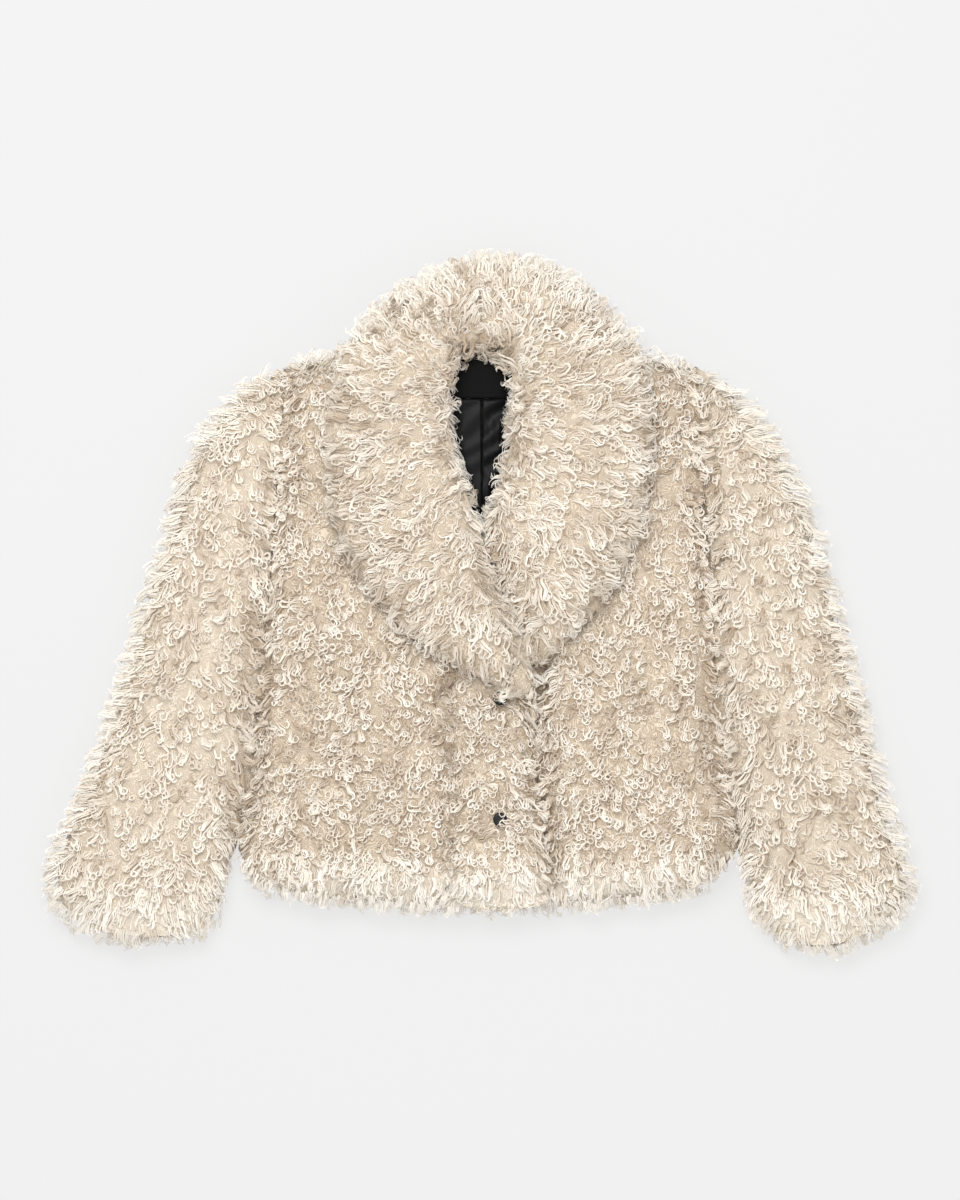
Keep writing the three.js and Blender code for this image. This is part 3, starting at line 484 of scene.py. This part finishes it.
def ribbonsToObject(groups, name, material):
    positions, indices, uvs, base = [], [], [], 0
    for ribbon, tone, start in groups:
        n, count = ribbon.shape[:2]
        positions.append(ribbon.reshape(-1, 3))
        first = base + np.arange(n)[:, None] * count * 2 + np.arange(count - 1)[None, :] * 2
        indices.append(np.stack([first + 1, first, first + 2, first + 3], axis=2).reshape(-1, 4))
        v = start[:, None] + (0.99 - start[:, None]) * np.linspace(0.01, 1, count)[None, :]
        left, right = tone[:, None] - 0.004, tone[:, None] + 0.004
        quad = np.stack([
            np.stack([np.broadcast_to(right, (n, count - 1)), v[:, :-1]], axis=2),
            np.stack([np.broadcast_to(left, (n, count - 1)), v[:, :-1]], axis=2),
            np.stack([np.broadcast_to(left, (n, count - 1)), v[:, 1:]], axis=2),
            np.stack([np.broadcast_to(right, (n, count - 1)), v[:, 1:]], axis=2),
        ], axis=2)
        uvs.append(quad.reshape(-1, 2))
        base += n * count * 2
    positions, indices, uvs = (np.concatenate(part) for part in (positions, indices, uvs))
    mesh = bpy.data.meshes.new(name)
    mesh.vertices.add(len(positions))
    mesh.vertices.foreach_set("co", positions.astype(np.float32).ravel())
    mesh.loops.add(len(indices) * 4)
    mesh.loops.foreach_set("vertex_index", indices.astype(np.int32).ravel())
    mesh.polygons.add(len(indices))
    mesh.polygons.foreach_set("loop_start", np.arange(0, len(indices) * 4, 4, dtype=np.int32))
    mesh.polygons.foreach_set("use_smooth", np.ones(len(indices), dtype=bool))
    fibreMap = mesh.uv_layers.new(name="OFBake")
    fibreMap.uv.foreach_set("vector", uvs.astype(np.float32).ravel())
    mesh.update(calc_edges=True)
    mesh.materials.append(material)
    piece = bpy.data.objects.new(name, mesh)
    bpy.context.scene.collection.objects.link(piece)
    return piece


def combedOut(name, points):
    # 1 at hem and cuffs, where the pile is long, smooth and pale
    start = cuffStart if name.startswith("sleeve") else hemStart
    return np.clip((toField(points)[1] - start) / combedReach, 0, 1)


def lengthAt(name, points):
    # long on the collar's outer side and down the sleeves, short and tight on the fronts
    right, down = toField(points)
    drift = 0.16 * softNoise(points, 0.07, 17)
    if name.startswith("collar"):
        middle = neckDown + 0.45 * np.maximum(down - neckDown, 0)
        away = np.hypot((right - 484) * 1.1, down - middle)
        return np.clip(0.62 + (away - 35) / 150, 0.6, 1.3) + drift * 0.5
    return 1 + drift


# where the coat folds between body and sleeves, under the collar and on the fronts: points, depth;
# the locks there are sunk and darkened as painted shade, and the lines along the collar's
# lower edges are painted shadow
creasesAndShadows = [
    ([(255, 614), (264, 701), (249, 752), (244, 797), (237, 830)], 1.0),
    ([(309, 668), (303, 698), (312, 737)], 0.8),
    ([(715, 665), (706, 692), (706, 740), (721, 788), (727, 848)], 1.0),
    ([(658, 671), (652, 710), (661, 740)], 0.8),
    ([(322, 470), (330, 520), (362, 578), (400, 613), (441, 658), (492, 692), (512, 700)], 1.2),
    ([(642, 520), (632, 556), (600, 606), (560, 645), (543, 657)], 1.2),
    ([(380, 760), (402, 768)], 0.7),
    ([(405, 722), (420, 730)], 0.5),
    ([(770, 875), (800, 850), (822, 825)], 0.6),
]
# painted shade where the collar turns down into the neck: its locks are sunk and darker
hollowShade = [([(464, 346), (500, 345)], 1.5)]       # where the collar turns down into the neck
creaseWidth = 11        # mm


def creaseDepth(name, points):
    right, down = toField(points)
    depth = np.zeros(len(points))
    for line, amount in hollowShade if name.startswith("collar") else creasesAndShadows:
        nearest = np.full(len(points), 1e9)
        for (x1, y1), (x2, y2) in zip(line, line[1:]):
            runX, runY = x2 - x1, y2 - y1
            share = ((right - x1) * runX + (down - y1) * runY) / (runX ** 2 + runY ** 2)
            share = np.clip(share, 0, 1)
            away = np.hypot(right - x1 - share * runX, down - y1 - share * runY)
            nearest = np.minimum(nearest, away)
        depth = np.maximum(depth, amount * np.exp(-(nearest / creaseWidth) ** 2))
    return depth


notch = dict(down=828, out=248, middle=479, width=22)      # mm, the gap between hem and cuff
frontEdge = dict(right=546, reach=40)                       # mm, the upper front's free edge
# m: how far round a button its locks point to it, and how near their ends come
buttonRing = dict(lower=0.019, upper=0.020, rim=0.0135, rimAbove=0.0045)
collarReach = 0.036     # m round the upper button, where the collar's pile is drawn over it


def notchAt(points):
    right, down = toField(points)
    out = np.abs(right - notch["middle"]) - notch["out"]
    return np.clip((down - notch["down"]) / 18, 0, 1) * np.exp(-(out / notch["width"]) ** 2)


def pileWays(name, plan, points, normals, near, gap, fringe, seamWay, rng):
    # flow is the pile's way seen from above, ways is the same laid on the surface and lifted
    n = len(points)
    calm = 1 - 0.5 * combedOut(name, points)
    angle = bearing(name, points) + plan["sway"] * calm * softNoise(points, 0.06, plan["seed"])
    angle = np.radians(angle + rng.normal(0, 13, n) * calm + rng.normal(0, 40, n) * near)
    flow = np.stack([np.cos(angle), np.sin(angle), np.zeros(n)], axis=1)
    outward = unit(normals * [1, 1, 0.001])
    # beside the front's free edge the locks run along it, not across
    beside = name.startswith("front") & (np.abs(toField(points)[0] - frontEdge["right"])
                                         < frontEdge["reach"])
    pull = np.where(beside, 0.3, 1.0) * near * rng.uniform(0.3, 1.2, n)
    flow = unit(flow + seamWay * pull[:, None] + outward * (1.1 * fringe * (1 - gap))[:, None]
                - [0, 1, 0] * gap[:, None])
    inward = np.zeros(n, dtype=bool)
    if name.startswith("collar"):
        # the inner rim's pile falls into the opening instead
        inward = (normals[:, :2] * flow[:, :2]).sum(axis=1) < -0.45
        flow[inward] *= -1
    outside = (normals[:, 2] < -0.85) & ((flow[:, :2] * normals[:, :2]).sum(axis=1) > 0)
    flow[outside] *= -1
    # on walls that the pile would stand out from, it hangs down along them instead
    rise = (flow * normals).sum(axis=1)
    hang = np.clip((rise - 0.25) / 0.4, 0, 1) * (normals[:, 2] > -0.3) * (1 - 0.7 * inward)
    along = flow - normals * rise[:, None]
    down = -np.array([0, 0, 1]) + normals * normals[:, 2:]
    along = unit(along + down * (0.9 * hang)[:, None])
    lift = rng.uniform(0.1, 0.42, n) + 0.3 * fringe * rng.uniform(0, 1, n)
    ways = unit(along + normals * lift[:, None])
    return flow, ways, outward, inward, beside


def fillValleys(name, points, anchors, near, under, seamWay):
    # locks that lie lower than the top beside a seam are lifted towards it
    for i in np.flatnonzero((near > 0) & ~under):
        inner = points[i] - seamWay[i] * 0.014
        top = trees[name].ray_cast(Vector((inner[0], inner[1], 0.2)), -upAxis)[0]
        if top is not None and top.z > points[i][2]:
            anchors[i][2] += min(0.95 * (top.z - points[i][2]) * near[i], 0.015)


def ringButtons(name, points, anchors, flow, ways):
    # the locks round each button point to it and end at its rim, over its top
    for spot, top, reach in ((buttonLower, buttonTops[0], buttonRing["lower"]),
                             (buttonUpper, buttonTops[1], buttonRing["upper"])):
        toSpot = (np.array(spot) - anchors) * [1, 1, 0]
        away = np.linalg.norm(toSpot, axis=1)
        close = np.clip((reach - away) / 0.004, 0, 1) * (points[:, 2] > 0.03)
        anchors[:, 2] += 0.006 * close
        over = (spot is buttonUpper) & (toSpot[:, 1] < 0.002)
        rim = np.where(over, buttonRing["rimAbove"], buttonRing["rim"])
        ways = np.where(close[:, None] > 0.5, unit(0.5 * flow + 1.2 * unit(toSpot)), ways)
        anchors += unit(toSpot) * (np.clip(away - rim, 0, 0.007) * close)[:, None]
        higher = np.maximum(anchors[:, 2], top + 0.0008)
        anchors[:, 2] = np.where(close > 0.5, higher, anchors[:, 2])
    if name == "collar_right":
        toSpot = (np.array(buttonUpper) - anchors) * [1, 1, 0]
        away = np.linalg.norm(toSpot, axis=1)
        pull = np.clip(away - 0.001, 0, 0.011) * np.clip((collarReach - away) / 0.015, 0, 1)
        anchors += unit(toSpot) * pull[:, None] + [0, 0, 1] * (0.3 * pull)[:, None]
    return ways


def shortenLoose(name, plan, anchors, ways, longer, under):
    # a lock whose root would lie outside its piece is shortened, under the coat also turned round
    for i, root in enumerate(anchors - ways * (plan["shaft"] / 1000 * longer)[:, None]):
        spot, facing, _, _ = trees[name].find_nearest(Vector(root))
        if (Vector(root) - spot).dot(facing) > 0.001:
            if under[i]:
                ways[i] *= -1
                longer[i] *= 0.45
            else:
                longer[i] *= 0.6


def growPile(name):
    plan = pilePlans[name]
    collar = name.startswith("collar")
    rng = np.random.default_rng(plan["seed"])
    points, normals, under, apart, seamWay = scatter(name, plan, rng)
    n = len(points)
    gap = notchAt(points)
    near = (1 - np.clip(apart / seamBand, 0, 1)) * (1 - gap)
    near[(normals[:, 1] < -0.5) & (toField(points)[1] > hemStart)] = 0      # the hem's own wall
    fringe = np.clip((0.8 - np.abs(normals[:, 2])) / 0.5, 0, 1) * (1 - near)
    flow, ways, outward, inward, beside = pileWays(
        name, plan, points, normals, near, gap, fringe, seamWay, rng)

    sunk = np.clip(rng.normal(0.0028, 0.0022, n), -0.0015, 0.0075)
    anchors = points - normals * sunk[:, None]
    anchors += np.where(beside[:, None], seamWay, flow) * (near * spill)[:, None]
    anchors += [0, 0, 1] * (near * 0.004 * ~under)[:, None]
    anchors += (flow * (0.008 * inward)[:, None]
                + outward * (0.0095 * fringe * ~inward * (1 - gap))[:, None])
    lumps = softNoise(points, 0.035, plan["seed"] + 5)
    anchors += normals * (0.0019 * lumps)[:, None]
    longer = lengthAt(name, points) * (1 - 0.1 * near) * (1 + 0.25 * fringe) * (1 - 0.4 * gap)
    if name == "back":
        # its low walls hold short locks only
        low = fringe * ~under
        longer *= 1 - 0.4 * low
        anchors -= [0, 0, 1] * (0.005 * low)[:, None]
    # combed out smooth and paler towards hem and cuffs; on the side walls ease also pales the pile,
    # as painted light
    ease = 0.4 * fringe if collar else np.maximum(0.9 * fringe, 0.85 * combedOut(name, points))
    fillValleys(name, points, anchors, near, under, seamWay)
    dip = creaseDepth(name, points)
    anchors -= [0, 0, 1] * (dip * 0.004)[:, None]
    ways = ringButtons(name, points, anchors, flow, ways)
    shortenLoose(name, plan, anchors, ways, longer, under)

    # locks set low, also painted darker as shade
    lowShaded = rng.random(n) < plan["lowShaded"]
    anchors -= normals * (0.003 * lowShaded)[:, None]
    # painted shade and light in the tone: fold lines, the collar's shadow lines and low locks
    # darker, raised lumps paler
    shade = 0.3 * dip - 0.1 * lumps + 0.4 * lowShaded
    level = np.clip(near + fringe, 0, 1)
    groups = []
    for part, fibres, flat in ((~under, plan["fibres"], False), (under, underFibres, True)):
        if part.any():
            groups.append(growFibres(
                anchors[part], normals[part], ways[part], longer[part], ease[part], level[part],
                shade[part], plan, fibres, flat, rng))
    piece = ribbonsToObject(groups, "pile_" + name, pile)
    note(f"{piece.name}: {n} locks, {len(piece.data.polygons) * 2} triangles")
    return piece


# the cloth under the pile: flat is the cut piece's box in m, area its own, keepUnder leaves its
# underside on, aside is how far walls are drawn in as a share of the depth, pale lightens it
clothPlans = {
    "back": dict(flat=(0.56, 0.58), area=0.25, keepUnder=True, aside=0.8, pale=0.2),
    "front_right": dict(flat=(0.31, 0.55), area=0.13, keepUnder=False, aside=0.8, pale=0.12),
    "front_left": dict(flat=(0.29, 0.55), area=0.12, keepUnder=False, aside=0.8, pale=0.12),
    "sleeve_right": dict(flat=(0.44, 0.60), area=0.2, keepUnder=True, aside=0.8, pale=0.4),
    "sleeve_left": dict(flat=(0.44, 0.60), area=0.2, keepUnder=True, aside=0.8, pale=0.4),
    "collar_right": dict(flat=(0.20, 0.45), area=0.06, keepUnder=False, aside=0.6, pale=0.25),
    "collar_left": dict(flat=(0.20, 0.45), area=0.06, keepUnder=False, aside=0.6, pale=0.25),
}
clothDepth = 0.0095     # m under the solid's skin, where the tips of the pile are
seamReach = 0.016       # m, near a seam the cloth sinks straight down instead
skinGap = 0.0025        # m, the least depth away from seams


def wellInside(point, margin=0.035):
    # on the back, under the other pieces and far from its outline
    for step in ((0, 0), (margin, 0), (-margin, 0), (0, margin), (0, -margin), (0, -margin / 3)):
        above = point + Vector((*step, 0.2))
        hits = [trees[other].ray_cast(above, -upAxis)[0] is not None for other in furNodes]
        if not hits[0] or not any(hits[1:]):
            return False
    return True


def layCloth(name):
    # the knitted backing with its dense undercoat: the solid's skin, drawn in under the locks
    plan = clothPlans[name]
    bm = mergedCopy(name)
    doomed = []
    for face in bm.faces:
        centre, normal = face.calc_center_median(), face.normal
        if normal.z < -0.35 and not plan["keepUnder"]:
            doomed.append(face)
        elif name == "back" and normal.z > 0.5 and wellInside(centre):
            doomed.append(face)
    bmesh.ops.delete(bm, geom=doomed, context="FACES")
    bmesh.ops.subdivide_edges(bm, edges=bm.edges, cuts=1, use_grid_fill=True)
    bmesh.ops.triangulate(bm, faces=bm.faces)
    bm.normal_update()
    corners = np.array([v.co for v in bm.verts])
    lumps = softNoise(corners, 0.014, 3) * 0.0012
    others = [trees[other] for other in sewnTo(name)]
    for vert, lump, end in zip(bm.verts, lumps, combedOut(name, corners)):
        normal = vert.normal.copy()
        back = trees[name].ray_cast(vert.co - normal * 0.001, -normal, 0.08)
        thick = back[3] if back[3] is not None else 0.03
        depth = min(clothDepth, thick * 0.4)
        if normal.z < -0.4 and vert.co.z < 0.02:
            depth = 0.005
        found = [tree.find_nearest(vert.co, seamReach) for tree in others]
        apart = min([f[3] for f in found if f[0] is not None] + [seamReach])
        free = max(0, (apart - 0.003) / (seamReach - 0.003))
        vert.co.z -= (depth + lump) * (normal.z * free + (1 - free) * (normal.z > 0.15))
        aside = min(depth * plan["aside"] * (1 - 0.5 * end), thick * 0.4)
        aside = aside * free - 0.0015 * (1 - free)
        vert.co.x -= normal.x * aside
        vert.co.y -= normal.y * aside
        spot, facing, _, _ = trees[name].find_nearest(vert.co)
        if free > 0.5 and (vert.co - spot).dot(facing) > -skinGap:
            vert.co = spot - facing * skinGap
        vert.co.z = max(vert.co.z, 0.003)
    corners = np.array([v.co for v in bm.verts])
    piece = bmeshToObject(bm, "cloth_" + name, undercoat)
    pale = piece.data.attributes.new("pale", "FLOAT", "POINT")
    pale.data.foreach_set("value", np.maximum(combedOut(name, corners), plan["pale"]))
    area = sum(p.area for p in piece.data.polygons)
    note(f"{piece.name}: {len(piece.data.polygons)} triangles, {area:.4f} square metres")
    return piece


for name in furNodes:
    cloth = layCloth(name)
    fur = growPile(name)
    for piece in (cloth, fur):
        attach(piece, "root")
    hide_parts(name)


def finerCopy(name, pieceName, material, cuts=1):
    bm = mergedCopy(name)
    bmesh.ops.subdivide_edges(bm, edges=bm.edges, cuts=cuts, use_grid_fill=True)
    bmesh.ops.triangulate(bm, faces=bm.faces)
    # soft folds across the satin, stronger on the wearer's left
    strength = {"lining_left": 0.0012, "lining_right": 0.0005}.get(name, 0)
    corners = np.array([v.co for v in bm.verts])
    right, down = toField(corners)
    fold = np.sin((right * 0.55 + down * 0.83 + 3 * np.sin(down / 9)) / 3.1)
    fold *= np.clip((500 - down) / 40, 0, 1)
    # the facing's top edge is tucked in under the collar
    tuck = 0.008 * np.clip((359 - down) / 3, 0, 1) * (name == "neck_facing")
    for vert, height, shift in zip(bm.verts, fold * strength, tuck):
        vert.co.z += height
        vert.co.y += shift
    return bmeshToObject(bm, pieceName, material)


for name, material, slotName, flat, area in (
    ("lining_right", satin, "lining", (0.050, 0.165), 0.0065),
    ("lining_left", satin, "lining", (0.050, 0.165), 0.0065),
    ("neck_facing", twill, "facing", (0.095, 0.062), 0.005),
):
    piece = finerCopy(name, "cloth_" + name, material, cuts=3)
    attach(piece, "root")
    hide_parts(name)

# half a snap's outline from its axis, as shares of its radius and height
snapOutline = [(0, 0), (0.78, 0), (0.95, 0.18), (1, 0.4), (0.97, 0.62), (0.86, 0.8), (0.7, 0.84),
               (0.6, 0.74), (0.35, 0.70), (0, 0.72)]
for name in buttons:
    low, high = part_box(name)
    centre = (low + high) / 2
    radius, height = (high.x - low.x) / 2, high.z - low.z
    bm = bmesh.new()
    verts = [bm.verts.new((share * radius, 0, low.z + rise * height))
             for share, rise in snapOutline]
    edges = [bm.edges.new(pair) for pair in zip(verts, verts[1:])]
    bmesh.ops.spin(bm, geom=verts + edges, cent=(0, 0, 0), axis=(0, 0, 1), angle=2 * math.pi,
                   steps=40, use_merge=True)
    bmesh.ops.remove_doubles(bm, verts=bm.verts, dist=0.00001)
    bmesh.ops.translate(bm, verts=bm.verts, vec=(centre.x, centre.y, 0))
    bmesh.ops.recalc_face_normals(bm, faces=bm.faces)
    piece = bmeshToObject(bm, "snap_" + name.split("_")[1], gloss)
    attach(piece, "root")
    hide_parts(name)
note("lining and snaps made")

bm = bmesh.new()
bmesh.ops.create_grid(bm, x_segments=1, y_segments=1, size=6)
floorMaterial = newMaterial("pale_floor", (0.14, 0.14, 0.14), 0.95, Specular_IOR_Level=0.0,
                            Emission_Color=(1, 1, 1, 1), Emission_Strength=0.70)
floor = bmeshToObject(bm, "floor", floorMaterial, smooth=False)


def addLight(name, where, target, size, power):
    data = bpy.data.lights.new(name, "AREA")
    data.shape = "DISK"
    data.size = size
    data.energy = power
    lamp = bpy.data.objects.new(name, data)
    bpy.context.scene.collection.objects.link(lamp)
    lamp.location = where
    lamp.rotation_euler = (Vector(target) - Vector(where)).to_track_quat("-Z", "Y").to_euler()


addLight("key", (-0.4, 1.0, 3.0), (0, 0, 0), 1.4, 75)
addLight("fill", (1.0, -0.8, 3.2), (0, 0, 0), 2.2, 17)
world = bpy.data.worlds.new("studio")
world.use_nodes = True
world.node_tree.nodes["Background"].inputs["Color"].default_value = (1, 1, 1, 1)
world.node_tree.nodes["Background"].inputs["Strength"].default_value = 0.61
bpy.context.scene.world = world
bpy.context.scene.view_settings.view_transform = "Standard"

cameraHeight = 6.0
middlePlane = 0.05      # the field's size is measured at this height
cameraData = bpy.data.cameras.new("camera")
cameraData.sensor_width = 36
cameraData.lens = 36 * (cameraHeight - middlePlane) / 1.2
camera = bpy.data.objects.new("camera", cameraData)
bpy.context.scene.collection.objects.link(camera)
camera.location = place(480, 600, cameraHeight)
bpy.context.scene.camera = camera

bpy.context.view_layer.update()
note("scene made")
